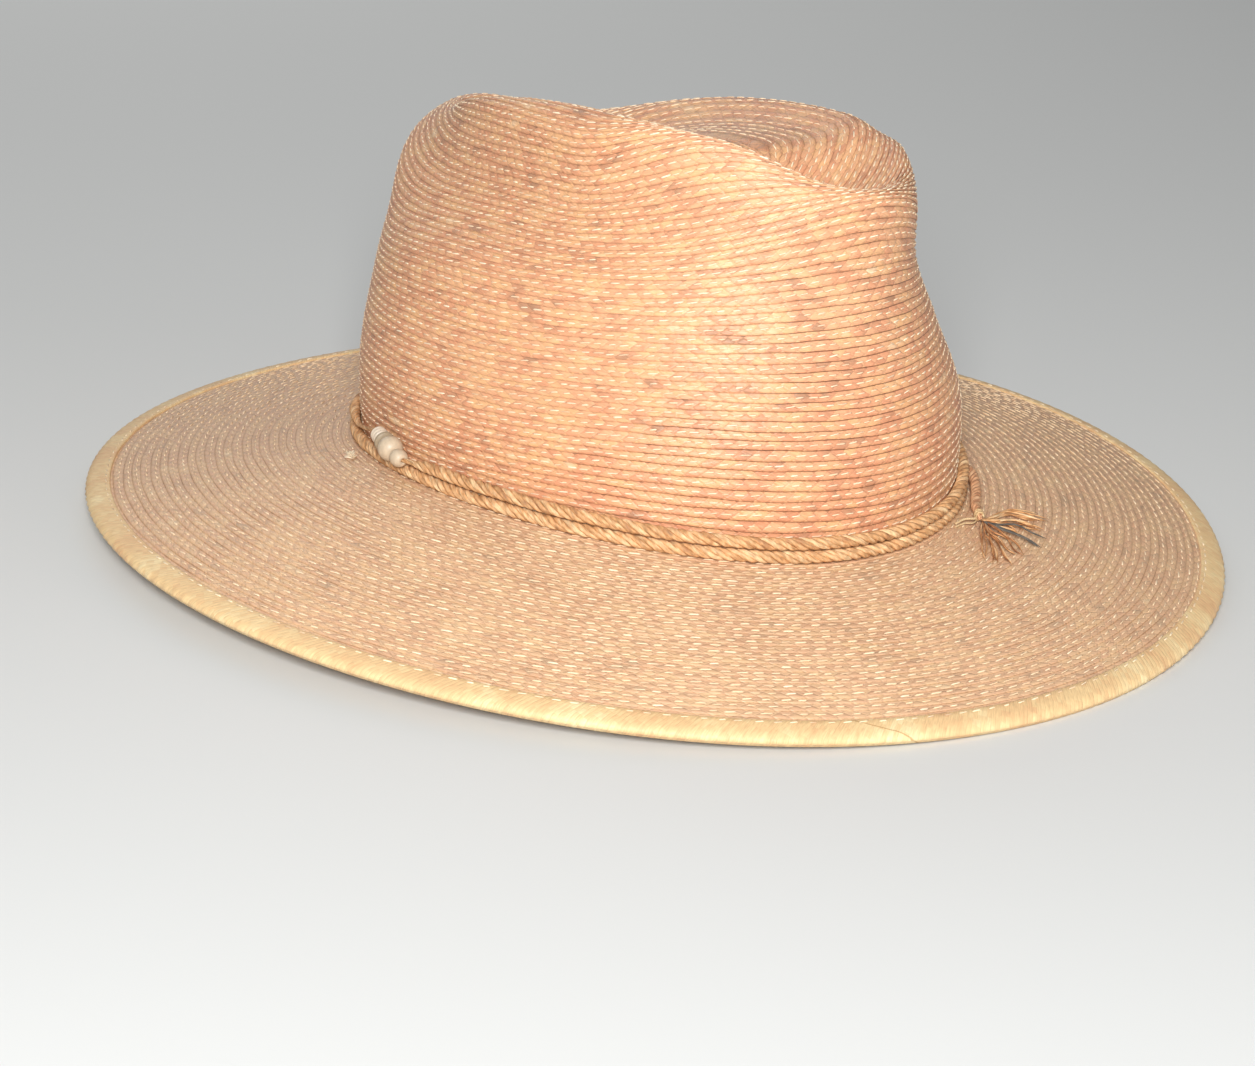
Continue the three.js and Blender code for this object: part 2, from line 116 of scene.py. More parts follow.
# Tassel strands, in groups: angle and distance out of the middle, then of the longest tip, half the
# spread of the tips in degrees, how much shorter the others may be, how many, and their radius
TASSEL = (
    (30.6, 17, 33.4, 30.5, 1.1, 6, 9, 0.34, "tassel_golden"),
    (27.6, 19, 29.6, 30, 0.9, 6, 7, 0.36, "tassel_golden"),
    (25.6, 21, 26.6, 31, 0.1, 0, 1, 0.3, "tassel_dark"),
    (24.4, 16, 25.2, 23, 0.5, 3, 2, 0.34, "tassel_golden"),
    (22.4, 18, 23, 30.8, 0.25, 1, 2, 0.5, "tassel_dark"),
    (21.2, 20.5, 19.2, 28, 0.3, 1, 2, 0.32, "tassel_brown"),
    (19.4, 19.5, 18.2, 27, 0.3, 2, 2, 0.32, "tassel_brown"),
    (18.4, 19.5, 14.9, 28, 0.3, 1, 3, 0.32, "tassel_brown"),
    (17.6, 18, 13, 25.2, 0.7, 2, 4, 0.34, "tassel_brown"),
    (17.9, 15.5, 12.6, 22, 0.5, 2, 3, 0.32, "tassel_brown"),
)


def size_setting(name, description, value, low, high):
    """Setting of a length, given in millimetres."""
    return bpy.props.FloatProperty(
        name=name, description=description, default=value * MM, min=low * MM, max=high * MM,
        unit="LENGTH", subtype="DISTANCE")


class HatSizes(bpy.types.PropertyGroup):
    """Sizes of the braid, stitches and cords"""

    braid_thickness: size_setting(
        "Braid thickness", "How far the lower edge of a row stands over the next row", 0.45, 0.1, 2)
    stitch_length: size_setting(
        "Stitch length", "Length of the thread that shows at each stitch", 2.5, 1, 6)
    stitch_spacing: size_setting(
        "Stitch spacing", "Distance from one stitch to the next along a row", 4.1, 2, 10)
    stitch_width: size_setting("Stitch width", "Thickness of the sewing thread", 0.42, 0.1, 1.5)
    binding_width: size_setting("Binding width", "Width of the binding on top of the brim", 7.6, 4, 20)
    cord_radius: size_setting("Cord radius", "Radius over the strands of the band cord", 1.9, 1, 4)
    cord_lay: size_setting("Cord lay", "Length of one full turn of a strand round the cord", 13, 2, 30)


def linear(code):
    """sRGB hex colour to linear RGBA."""
    channels = [int(code[i:i + 2], 16) / 255 for i in (1, 3, 5)]
    return tuple(c / 12.92 if c <= 0.04045 else ((c + 0.055) / 1.055) ** 2.4 for c in channels) + (1.0,)


def colour_setting(name, description, code):
    return bpy.props.FloatVectorProperty(
        name=name, description=description, default=linear(code), size=4, min=0, max=1, subtype="COLOR")


class HatColours(bpy.types.PropertyGroup):
    """Colours of the straw, thread, cords and beads"""

    leaf_dark: colour_setting("Dark leaf", "Greyish brown bits of leaf", "#b98b6c")
    leaf_salmon: colour_setting("Salmon leaf", "Reddish tan bits of leaf", "#de9e78")
    leaf_tan: colour_setting("Tan leaf", "The leaf's main colour", "#e4ad84")
    leaf_yellow: colour_setting("Yellow leaf", "Yellowish bits of leaf", "#ebb684")
    leaf_pale: colour_setting("Pale leaf", "Palest bits of leaf", "#f0cba4")
    leaf_faded: colour_setting("Faded leaf", "What the brim's leaf has faded towards", "#ddc6a2")
    thread: colour_setting("Thread", "Sewing thread", "#fbe4c2")
    binding: colour_setting("Binding", "Straw of the edge binding", "#eac894")
    cord: colour_setting("Cord", "Straw of the band cords", "#dfb182")
    bead: colour_setting("Bead", "Cream of the beads", "#cdb99e")
    floor: colour_setting("Floor", "The plain floor", "#dcdddb")


# Shape of the hat, worked out from the tables, in millimetres


def cubic_through(x, knots, values, slopes):
    """Smooth curve through values at knots, with these slopes there, and flat beyond the ends."""
    i = np.clip(np.searchsorted(knots, x, side="right") - 1, 0, len(knots) - 2)
    span = knots[i + 1] - knots[i]
    t = np.clip((x - knots[i]) / span, 0, 1)
    rise = t * t * (3 - 2 * t)
    return (values[i] * (1 - rise) + values[i + 1] * rise
            + t * (1 - t) ** 2 * span * slopes[i] + t * t * (t - 1) * span * slopes[i + 1])


def table_value(name, row):
    """A crown column at any row."""
    rows = np.array(CROWN_ROWS, float)
    values = np.array(CROWN_TABLE[name], float)
    gaps = np.diff(rows)
    secants = np.diff(values) / gaps
    inner = (secants[:-1] * gaps[1:] + secants[1:] * gaps[:-1]) / (gaps[1:] + gaps[:-1])
    return cubic_through(row, rows, values, np.concatenate([secants[:1], inner, secants[-1:]]))


def crown_point(row, angle):
    """Place on the outside of the crown."""
    row, angle = np.broadcast_arrays(np.asarray(row, float), np.asarray(angle, float))
    forward = np.maximum(np.cos(angle), 0)
    backward = np.maximum(-np.cos(angle), 0)
    sideways = np.sin(angle)
    table = {name: table_value(name, row) for name in CROWN_TABLE}
    waist = table["waist"]
    y = waist - (table["front"] + waist) * forward + (table["back"] - waist) * backward
    closing = np.clip((CORE_ROW - row) / CORE_CLOSING, 0, 1)
    x = table["side"] * sideways * closing
    lift = (table["front_height"] * forward ** 2 + table["back_height"] * backward ** 2
            + table["side_height"] * sideways ** 2
            + table["shoulder"] * 4 * forward ** 2 * sideways ** 2
            + table["heel"] * 4 * backward ** 2 * sideways ** 2
            - table["lean"] * sideways)
    return np.stack([x, y, FOOT_HEIGHT - FOOT_SLOPE * y + lift], -1)


def unit(vectors):
    return vectors / np.maximum(np.linalg.norm(vectors, axis=-1, keepdims=True), 1e-12)


def run_along(path):
    """Distance from the first point to each one, along a path."""
    return np.concatenate([[0], np.cumsum(np.linalg.norm(np.diff(path, axis=0), axis=-1))])


def surface_normal(surface, row, angle):
    """Outward direction of a surface of rows and angles."""
    step = 0.02
    around = surface(row, angle + step) - surface(row, angle - step)
    upward = surface(row + step, angle) - surface(row - step, angle)
    return unit(np.cross(around, upward))


def crown_normal(row, angle):
    return surface_normal(crown_point, np.clip(row, *NORMAL_ROWS), angle)


def wall_direction(row, angle):
    """Level direction out from the crown's wall."""
    return unit(crown_normal(row, angle) * np.array([1, 1, 0]))


def brim_rise(angle):
    """How far the underside of the brim's edge stands above the floor."""
    return BRIM_SIDE_RISE * (np.sin(angle) ** 2 - math.sin(HALF_FACET) ** 2)


def brim_ends(angle):
    """Inner and outer end of the brim's top surface."""
    angle = np.asarray(angle, float)
    foot = crown_point(0, angle) + wall_direction(0, angle) * GAP
    edge = np.stack([(BRIM_HALF_WIDTH - BRIM_INSET) * np.sin(angle),
                     -(BRIM_HALF_LENGTH - BRIM_INSET) * np.cos(angle),
                     BRIM_EDGE_TOP + brim_rise(angle)], -1)
    return foot, edge


def brim_width(angle):
    foot, edge = brim_ends(angle)
    return np.linalg.norm((edge - foot)[..., :2], axis=-1)


def brim_point(station, angle):
    """Top of the brim: station 0 at the crown's foot, 1 inside the binding."""
    station, angle = np.broadcast_arrays(np.asarray(station, float), np.asarray(angle, float))
    foot, edge = brim_ends(angle)
    point = foot + (edge - foot) * station[..., None]
    point[..., 2] += BRIM_CAMBER * np.sin(np.pi * station)
    return point


def edge_point(inset, angle):
    """Top of the brim, at a distance in from the outermost line of the binding."""
    return brim_point(1 - (inset - BRIM_INSET) / brim_width(angle), angle)


def brim_row_point(row, angle):
    return brim_point(-np.asarray(row, float) / BRIM_ROWS, angle)


def brim_normal(row, angle):
    return surface_normal(brim_row_point, row, angle)


def band_point(angle, out, up):
    """Place beside the crown's wall, above the brim's inner end."""
    row = np.asarray(up, float) / ROW_PITCH
    point = crown_point(row, angle) + wall_direction(row, angle) * np.asarray(out, float)[..., None]
    point[..., 2] = crown_point(0, angle)[..., 2] + up
    return point


def lay_point(degrees, out, up):
    """Place on the brim, out from the crown's foot and above the top surface."""
    angle = np.radians(degrees)
    point = brim_point(np.asarray(out, float) / brim_width(angle), angle)
    point[..., 2] += up
    return point


# Rows of braid

# Across a row, from its lower edge (0) to its upper edge (1): how high the braid stands, as a share of
# its thickness. The lower edge lies over the next row, and the upper edge goes under the row above.
ROW_STOPS = (0.0, 0.06, 0.3, 0.6, 0.93)
ROW_LIFTS = (0.6, 1.0, 1.0, 0.72, 0.0)
SINK = 0.35

# Waves of the row lines: height in rows, how fast they run round the hat, and where they start
DRIFT_WAVES = ((0.05, 3.3, 0.4), (0.05, 7.7, 1.1), (0.03, 17.3, 2.0), (0.02, 41.1, 0.0))

# Distances below which corners are merged and edges dropped, in metres
MERGE_DISTANCE = 2e-6
SHORTEST_EDGE = 1e-6

# Slack for the rounding of row numbers, and for rows at the ends of a sheet
ROUNDING = 1e-6
LIMIT_SLACK = 1e-9


def row_lift(stop, thickness):
    return (np.interp(stop, ROW_STOPS + (1.0,), ROW_LIFTS + (ROW_LIFTS[0],)) - SINK) * thickness


def row_drift(turns):
    """Small unevenness of the row lines along the spiral, in rows."""
    t = np.asarray(turns, float) * 2 * np.pi
    return sum(height * np.sin(speed * t + start) for height, speed, start in DRIFT_WAVES)


def spiral_row(turns, stop):
    """Row number at a place along the spiral (in turns) and across the row."""
    return turns + stop + (1 - stop) * row_drift(turns) + stop * row_drift(turns + 1)


def add_piece(name, mesh):
    piece = bpy.data.objects.new(name, mesh)
    bpy.context.scene.collection.objects.link(piece)
    return piece


def turn_outward(work):
    """Faces outward and smooth."""
    bmesh.ops.recalc_face_normals(work, faces=work.faces)
    for face in work.faces:
        face.smooth = True


def grid_sheet(name, points, uv_of):
    """One or more grids shaped to points, (copies, rings, columns, 3) in millimetres, in one mesh.

    uv_of(ring, column, low) gives the braid map at each face corner; low is the face's lower ring."""
    copies, rings, columns = points.shape[:3]
    grid = bmesh.new()
    bmesh.ops.create_grid(grid, x_segments=columns - 1, y_segments=rings - 1, size=0.5)
    template = bpy.data.meshes.new(name + "_grid")
    grid.to_mesh(template)
    grid.free()
    co = np.empty(len(template.vertices) * 3, np.float32)
    template.vertices.foreach_get("co", co)
    co = co.reshape(-1, 3) + 0.5
    column = np.rint(co[:, 0] * (columns - 1)).astype(int)
    ring = np.rint(co[:, 1] * (rings - 1)).astype(int)
    corners = np.empty(len(template.loops), np.int32)
    template.loops.foreach_get("vertex_index", corners)
    bpy.data.meshes.remove(template)
    low = np.repeat(ring[corners].reshape(-1, 4).min(axis=1), 4)
    faces = len(corners) // 4
    mesh = bpy.data.meshes.new(name)
    mesh.vertices.add(copies * len(ring))
    mesh.loops.add(copies * len(corners))
    mesh.polygons.add(copies * faces)
    mesh.vertices.foreach_set("co", (points[:, ring, column] * MM).astype(np.float32).ravel())
    every = corners[None, :] + (np.arange(copies) * len(ring))[:, None]
    mesh.loops.foreach_set("vertex_index", every.astype(np.int32).ravel())
    mesh.polygons.foreach_set("loop_start", np.arange(copies * faces, dtype=np.int32) * 4)
    mesh.update(calc_edges=True)
    layer = mesh.uv_layers.new(name="braid")
    uv = np.broadcast_to(uv_of(ring[corners], column[corners], low), (copies, len(corners), 2))
    layer.uv.foreach_set("vector", uv.astype(np.float32).ravel())
    work = bmesh.new()
    work.from_mesh(mesh)
    bmesh.ops.remove_doubles(work, verts=work.verts, dist=MERGE_DISTANCE)
    bmesh.ops.dissolve_degenerate(work, edges=work.edges, dist=SHORTEST_EDGE)
    turn_outward(work)
    work.to_mesh(mesh)
    work.free()
    return add_piece(name, mesh)


def dress(piece, material, slot, *nodes):
    """Finish of a piece, the body that it rides on and the solids that it stands for. slot is not used.
    """
    piece.data.materials.clear()
    piece.data.materials.append(material)
    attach(piece, "root")
    if nodes:
        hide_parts(*nodes)


def braid_sheet(name, first, last, columns, surface, normal, limits, thickness):
    """Rows of braid from row first down to row last, and the plain underside back again."""
    stops = np.array([row + stop for row in range(first, last - 1, -1) for stop in reversed(ROW_STOPS)])
    top = np.tile([float(row_lift(stop, thickness)) for stop in reversed(ROW_STOPS)], first - last + 1)
    under = np.arange(last, first + 1)
    rows = np.concatenate([stops, under])
    lifts = np.concatenate([top, np.full(len(under), -WALL)])[:, None]
    angle = np.linspace(-np.pi, np.pi, columns + 1)
    whole = np.floor(rows + ROUNDING)[:, None]
    row = spiral_row(whole + angle / (2 * np.pi), rows[:, None] - whole)
    held = np.clip(row, *limits)
    lift = np.where((np.abs(row - held) > LIMIT_SLACK) & (lifts != -WALL), 0.0, lifts)
    spread = np.broadcast_to(angle, held.shape)
    points = surface(held, spread) + normal(held, spread) * lift[..., None]

    # Distance along the spiral at each column, measured along the middle of each row
    middle_turns = under[:, None] + angle / (2 * np.pi)
    middle_row = np.clip(spiral_row(middle_turns, 0.5), *limits)
    middle = surface(middle_row, np.broadcast_to(angle, middle_turns.shape))
    along = run_along(middle.reshape(-1, 3)).reshape(middle_turns.shape)
    cell = np.floor((rows[:-1] + rows[1:]) / 2 + ROUNDING).astype(int)

    def uv_of(ring, column, low):
        owner = cell[low]
        s = along[np.clip(owner - last, 0, len(along) - 1), column]
        return np.stack([s, np.clip(rows[ring] - owner, 0, 1)], -1)

    return grid_sheet(name, points[None], uv_of)


# Stitches: where they lie across the row, samples of the spiral in each turn, how unevenly they are set
# along the row (as a share of the spacing) and across it (in rows), the shares of full length and
# thickness that they may have, and their slant with how much it may vary
STITCH_STOP = 0.5
TURN_SAMPLES = 480
STITCH_JITTER = 0.12
STITCH_WANDER = 0.05
STITCH_LENGTHS = (0.7, 1.15)
STITCH_WIDTHS = (0.7, 1.25)
STITCH_SLANT = (0.1, 0.07)

# Rings of a stitch: shares of its half length and half thickness, and height above the braid. Its
# section: shares of the half thickness sideways and upwards
STITCH_RINGS = ((-1, 0, -0.12), (-0.5, 1, 0.07), (0.5, 1, 0.07), (1, 0, -0.12))
STITCH_SECTION = ((1, 0), (0, 0.8), (-1, 0), (0, -0.8), (1, 0))


def stitch_uv(ring, column, low):
    return np.stack([ring * 1.0, column * 0.25], -1)


def stitch_line(name, first, last, surface, normal, limits, sizes, length, width, relief, spacing, seed):
    """Running stitches along the middle of the rows, each a short thread that dips at both ends. length,
    width, relief (of the braid under them) and spacing are shares of the settings."""
    rng = np.random.default_rng(seed)
    turns = np.arange(last, first, 1 / TURN_SAMPLES)
    row = spiral_row(turns, STITCH_STOP)
    keep = (row > limits[0]) & (row < limits[1])
    turns, row = turns[keep], row[keep]
    run = run_along(surface(row, 2 * np.pi * (turns - np.rint(turns))))
    pitch = spacing * sizes.stitch_spacing / MM
    count = int(run[-1] / pitch)
    at = (np.arange(count) + rng.uniform(-STITCH_JITTER, STITCH_JITTER, count)) * pitch + pitch / 2
    place = np.interp(at, run, turns)
    row = spiral_row(place, STITCH_STOP) + rng.uniform(-STITCH_WANDER, STITCH_WANDER, count)
    angle = 2 * np.pi * (place - np.rint(place))
    centre = surface(row, angle)
    up = normal(row, angle)
    step = 0.01
    ahead = unit(surface(row, angle + step) - surface(row, angle - step))
    side = np.cross(up, ahead)
    half = length * sizes.stitch_length / MM / 2 * rng.uniform(*STITCH_LENGTHS, count)
    thick = width * sizes.stitch_width / MM / 2 * rng.uniform(*STITCH_WIDTHS, count)
    slant = STITCH_SLANT[0] + rng.uniform(-STITCH_SLANT[1], STITCH_SLANT[1], count)
    lift = row_lift(STITCH_STOP, relief * sizes.braid_thickness / MM)
    points = np.empty((count, len(STITCH_RINGS), len(STITCH_SECTION), 3))
    for i, (reach, size, dip) in enumerate(STITCH_RINGS):
        forward = reach * half
        for j, (across, over) in enumerate(STITCH_SECTION):
            sideways = across * size * thick + slant * forward
            above = over * size * thick + lift + dip
            points[:, i, j] = (centre + ahead * forward[:, None] + side * sideways[:, None]
                               + up * above[:, None])
    return grid_sheet(name, points, stitch_uv)


# Strands and cords

UPWARDS = np.array([0.0, 0.0, 1.0])

# A laid cord: its strands, the sides of each, rings in each full turn, the place of the strands' middle
# as a share of the cord's radius, how far they are pressed into each other, and how loosely they lie
CORD_STRANDS = 4
CORD_SIDES = 8
STEPS_PER_TURN = 22
STRAND_WIND = 0.56
STRAND_SWELL = 1.06
LOOSENESS = 0.05

# Strand maps: millimetres along for each ring, and columns to one width of the pattern
RING_LENGTH = 1.5
PATTERN_COLUMNS = 6
BAND_SAMPLES = 1440


def heading(points, closed=False):
    """Direction of travel along paths, (..., steps, 3). A closed path ends on its first point."""
    if not closed:
        return unit(np.gradient(points, axis=-2))
    body = points[..., :-1, :]
    ahead = unit(np.roll(body, -1, axis=-2) - np.roll(body, 1, axis=-2))
    return np.concatenate([ahead, ahead[..., :1, :]], axis=-2)


def ring_corners(path, radius, first, second, sides):
    """Corners of round rings, (copies, steps, sides + 1, 3), that turn from first towards second."""
    turn = np.linspace(0, 2 * np.pi, sides + 1)[:, None]
    return (path[:, :, None] + radius[:, :, None, None]
            * (first[:, :, None] * np.cos(turn) + second[:, :, None] * np.sin(turn)))


def tube_points(path, radius, sides):
    """Ring corners of round strands. path is (copies, steps, 3), radius (copies, steps)."""
    ahead = heading(path)
    sideways = unit(np.cross(UPWARDS, ahead))
    return ring_corners(path, radius, sideways, np.cross(ahead, sideways), sides)


def strand_uv(ring, column, low):
    return np.stack([ring * RING_LENGTH, column / PATTERN_COLUMNS], -1)


def laid_cord(name, path, radius, lay, closed):
    """Strands wound round a path of points. radius is the cord's, over its strands, at each point."""
    run = run_along(path)
    turns = max(1, round(run[-1] / lay))
    steps = int(turns * STEPS_PER_TURN)
    at = np.linspace(0, run[-1], steps + 1)
    share = at / run[-1]
    line = np.stack([np.interp(at, run, path[:, k]) for k in range(3)], -1)
    size = np.interp(at, run, radius)
    if closed:
        line[-1] = line[0]
    ahead = heading(line, closed)
    sideways = unit(np.cross(UPWARDS, ahead))
    over = np.cross(ahead, sideways)
    strand = np.arange(CORD_STRANDS)[:, None]
    loose = LOOSENESS * np.sin(2 * np.pi * round(turns * 1.37) * share + 2.1 * strand)
    turn = 2 * np.pi * (share * turns + strand / CORD_STRANDS + 0.4 * loose)
    turn = turn[..., None]
    wound = size * STRAND_WIND * (1 + loose)
    helix = line + wound[..., None] * (sideways * np.cos(turn) + over * np.sin(turn))
    thick = size * (1 - STRAND_WIND) * STRAND_SWELL
    radii = np.broadcast_to(thick, wound.shape).copy()
    if not closed:
        radii[:, [0, -1]] = 0
    forward = heading(helix, closed)
    across = unit(np.cross(forward, unit(helix - line)))
    points = ring_corners(helix, radii, np.cross(across, forward), across, CORD_SIDES)

    def uv_of(ring, column, low):
        return np.stack([at[ring] * RING_LENGTH, column / CORD_SIDES], -1)

    return grid_sheet(name, points, uv_of)


def band_path(upper):
    """Angles and places along a turn of the band; the upper one is lifted over the beads."""
    degrees = np.linspace(-180, 180, BAND_SAMPLES + 1)
    if upper:
        knots, *columns = np.array(UPPER_BULGE, float).T
        slopes = [np.pad((values[2:] - values[:-2]) / (knots[2:] - knots[:-2]), 1) for values in columns]
        out, up = [cubic_through(degrees, knots, *pair) for pair in zip(columns, slopes)]
    else:
        out, up = np.full((2, len(degrees)), [[CORD_OUT], [LOWER_UP]])
    return degrees, band_point(np.radians(degrees), out, up)


def curve_through(points, steps):
    """Smooth run of points through a few."""
    points = np.array(points, float)
    slopes = np.gradient(points, axis=0)
    at = np.linspace(0, len(points) - 1, steps)
    knots = np.arange(len(points))
    return np.stack([cubic_through(at, knots, points[:, k], slopes[:, k]) for k in range(3)], -1)


# Materials

# Where the cut end of the binding strip lies along the edge, and how far it slants, in millimetres
JOIN_PLACE = 499.0
JOIN_LEAN = -2.2


def add_node(tree, kind, inputs=None, **settings):
    """Adds one node: settings are its properties, inputs its values or the sockets linked to it."""
    node = tree.nodes.new(kind)
    for key, value in settings.items():
        setattr(node, key, value)
    for key, value in (inputs or {}).items():
        if isinstance(value, bpy.types.NodeSocket):
            tree.links.new(value, node.inputs[key])
        else:
            node.inputs[key].default_value = value
    return node


def maths(operation, a, b=0.0, c=0.0):
    return add_node(a.id_data, "ShaderNodeMath", {0: a, 1: b, 2: c}, operation=operation).outputs[0]


def scaled(value, factor, plus=0.0):
    return maths("MULTIPLY_ADD", value, factor, plus)


def combined(x, y=0.0, z=0.0):
    return add_node(x.id_data, "ShaderNodeCombineXYZ", {0: x, 1: y, 2: z}).outputs[0]


def separated(vector):
    return add_node(vector.id_data, "ShaderNodeSeparateXYZ", {0: vector}).outputs


def braid_map(tree):
    """Millimetres along the braid or strand, and place across it."""
    return separated(add_node(tree, "ShaderNodeUVMap", uv_map="braid").outputs[0])[:2]


def object_place(tree):
    return add_node(tree, "ShaderNodeTexCoord").outputs["Object"]


def noise(place, detail, scale=1.0):
    inputs = {"Vector": place, "Scale": scale, "Detail": detail}
    return add_node(place.id_data, "ShaderNodeTexNoise", inputs).outputs[0]


def picked(dimensions, first, second, seed=0.0):
    """One random value for each cell where two sets of strips cross."""
    cell = combined(maths("FLOOR", first), maths("FLOOR", second), seed)
    node = add_node(cell.id_data, "ShaderNodeTexWhiteNoise", {0: cell}, noise_dimensions=dimensions)
    return node.outputs[0]


def mixed(kind, amount, a, b):
    tree = (a if isinstance(a, bpy.types.NodeSocket) else b).id_data
    inputs = {0: amount, 6: a, 7: b}
    return add_node(tree, "ShaderNodeMix", inputs, data_type="RGBA", blend_type=kind).outputs[2]


def grey(value):
    return (value, value, value, 1.0)


def ramp(value, stops, smooth=False):
    """Colours by value. A stop is a place and a hex code, a grey's number or a linear colour."""
    node = add_node(value.id_data, "ShaderNodeValToRGB", {0: value})
    node.color_ramp.interpolation = "EASE" if smooth else "LINEAR"
    elements = node.color_ramp.elements
    while len(elements) < len(stops):
        elements.new(0.5)
    for element, (position, colour) in zip(elements, stops):
        if isinstance(colour, str):
            colour = linear(colour)
        element.position = position
        element.color = grey(colour) if isinstance(colour, float) else tuple(colour)
    return node.outputs[0]


def shaded(colour, value, *stops, smooth=False):
    """Colour multiplied by the shades that a value picks."""
    return mixed("MULTIPLY", 1.0, colour, ramp(value, stops, smooth))


def new_material(name):
    material = bpy.data.materials.new(name)
    material.use_nodes = True
    tree = material.node_tree
    tree.nodes.clear()
    output = add_node(tree, "ShaderNodeOutputMaterial")
    shader = add_node(tree, "ShaderNodeBsdfPrincipled")
    tree.links.new(shader.outputs[0], output.inputs[0])
    return material, tree, shader


def finish(shader, colour, height, relief, strength, roughness, specular):
    """Gives the shader its colour, its fine relief (in millimetres) and its shine."""
    tree = shader.id_data
    inputs = {"Height": height, "Distance": relief * MM, "Strength": strength}
    bump = add_node(tree, "ShaderNodeBump", inputs)
    tree.links.new(colour, shader.inputs["Base Color"])
    tree.links.new(bump.outputs[0], shader.inputs["Normal"])
    shader.inputs["Roughness"].default_value = roughness
    shader.inputs["Specular IOR Level"].default_value = specular


def palm_leaf_braid(name, colours, fading, seam_shade, shadow_start, shadow_lean, low_front_tint, seed):
    """Flat plait of dried palm leaf, 2.85 mm of it showing in each row: strips about 3 mm wide that
    cross at a slant, each a little different, with straight fibres along the row and a soft wax shine.
    low_front_tint is what the leaf's colour is multiplied by low at the front, darker and warmer there.
    shadow_lean is how much weaker the seams' painted shadow gets for each metre along X, Y and Z, from
    shadow_start at the origin, and seam_shade is the grey of that painted shadow."""
    material, tree, shader = new_material(name)
    s, f = braid_map(tree)
    place = object_place(tree)

    # Strips of the plait, leaning both ways, 4.4 mm apart along the row
    along = scaled(s, 1 / 4.4)
    first = scaled(f, 0.9, along)
    second = maths("ADD", along, scaled(f, -0.9, 0.37))
    pick = picked("3D", first, second, seed)

    # Stretches of one leaf along the row, 10 to 30 mm long, and places where all the leaf is alike
    stretch = noise(combined(scaled(s, 1 / 14), scaled(f, 0.25), seed), 2.0)
    region = noise(place, 2.0, scale=55.0)
    tone = scaled(region, 0.3, scaled(stretch, 1.4, scaled(pick, 0.38, -0.54)))
    leaf = ramp(tone, (
        (0.1, colours.leaf_dark), (0.34, colours.leaf_salmon), (0.52, colours.leaf_tan),
        (0.76, colours.leaf_yellow), (0.98, colours.leaf_pale)))
    if fading:
        leaf = mixed("MIX", fading, leaf, colours.leaf_faded)

    # Straight fibres, about 0.2 mm apart across the strips and 6 mm long
    lines = combined(scaled(s, 0.3, scaled(f, 0.5)), scaled(f, 9.0, scaled(s, 0.9)), pick)
    fibres = noise(lines, 3.0)
    leaf = shaded(leaf, fibres, (0.3, 0.8), (0.62, 1.04))

    # Strips meet in fine lines, and painted shadow darkens the seam where a row goes under the next one,
    # more in some places than in others
    edge = maths("MINIMUM", maths("PINGPONG", first, 0.5), maths("PINGPONG", second, 0.5))
    leaf = shaded(leaf, edge, (0.0, 0.84), (0.05, 1.0))
    seam_shadow = (seam_shade, 0.86 * seam_shade, 0.74 * seam_shade, 1.0)
    seam = ramp(f, ((0.0, 0.84), (0.035, 1.0), (0.88, 1.0), (0.93, seam_shadow)))
    lean = add_node(tree, "ShaderNodeVectorMath", {0: place, 1: shadow_lean}, operation="DOT_PRODUCT")
    shadow_fading = maths("ADD", maths("ADD", region, lean.outputs["Value"]), shadow_start)
    leaf = mixed("MULTIPLY", ramp(shadow_fading, ((0.36, 1.0), (0.64, 0.38))), leaf, seam)

    # Darker and warmer low at the front
    _, y, z = separated(place)
    low = scaled(z, 8.0, scaled(y, 4.0, 0.4))
    leaf = shaded(leaf, low, (0.5, low_front_tint), (0.9, 1.0), smooth=True)
    crease = maths("MINIMUM", scaled(edge, 6.0), 1.0)
    height = scaled(fibres, 0.8, scaled(crease, 0.6))
    finish(shader, leaf, height, 0.25, 0.8, roughness=0.42, specular=0.4)
    return material


def plaited_straw(name, colours):
    """Pale wheat-straw plait of the edge binding: fine split straws that cross it at a slant, 1.6 mm
    from strip to strip, nearly even in shade, and one fine slanted line of painted shade where the
    strip's end lies."""
    material, tree, shader = new_material(name)
    s, w = braid_map(tree)
    slant = scaled(s, 1 / 1.6, scaled(w, 1 / 2.2))
    across = scaled(s, 1 / 4.2, scaled(w, -1 / 2.6))
    pick = picked("2D", slant, across)
    stretch = noise(combined(scaled(s, 1 / 22)), 3.0)
    tone = scaled(pick, 0.26, scaled(stretch, 1.5, -0.38))
    straw = ramp(tone, (
        (0.1, "#deae80"), (0.35, "#e6be8c"), (0.55, colours.binding), (0.9, "#f5dfae")))
    fibres = noise(combined(scaled(slant, 4.0), scaled(across, 0.8)), 3.0)
    straw = shaded(straw, fibres, (0.3, 0.84), (0.62, 1.05))
    groove = maths("PINGPONG", slant, 0.5)
    straw = shaded(straw, groove, (0.0, 0.95), (0.15, 1.0))
    # Painted shade along the slanted line where the strip's cut end lies
    end = maths("ABSOLUTE", scaled(w, JOIN_LEAN, maths("SUBTRACT", s, JOIN_PLACE)))
    straw = shaded(straw, end, (0.2, (0.66, 0.55, 0.46, 1.0)), (0.55, 1.0))
    height = scaled(fibres, 0.8, maths("MINIMUM", scaled(groove, 2.5), 0.6))
    finish(shader, straw, height, 0.2, 0.5, roughness=0.5, specular=0.35)
    return material


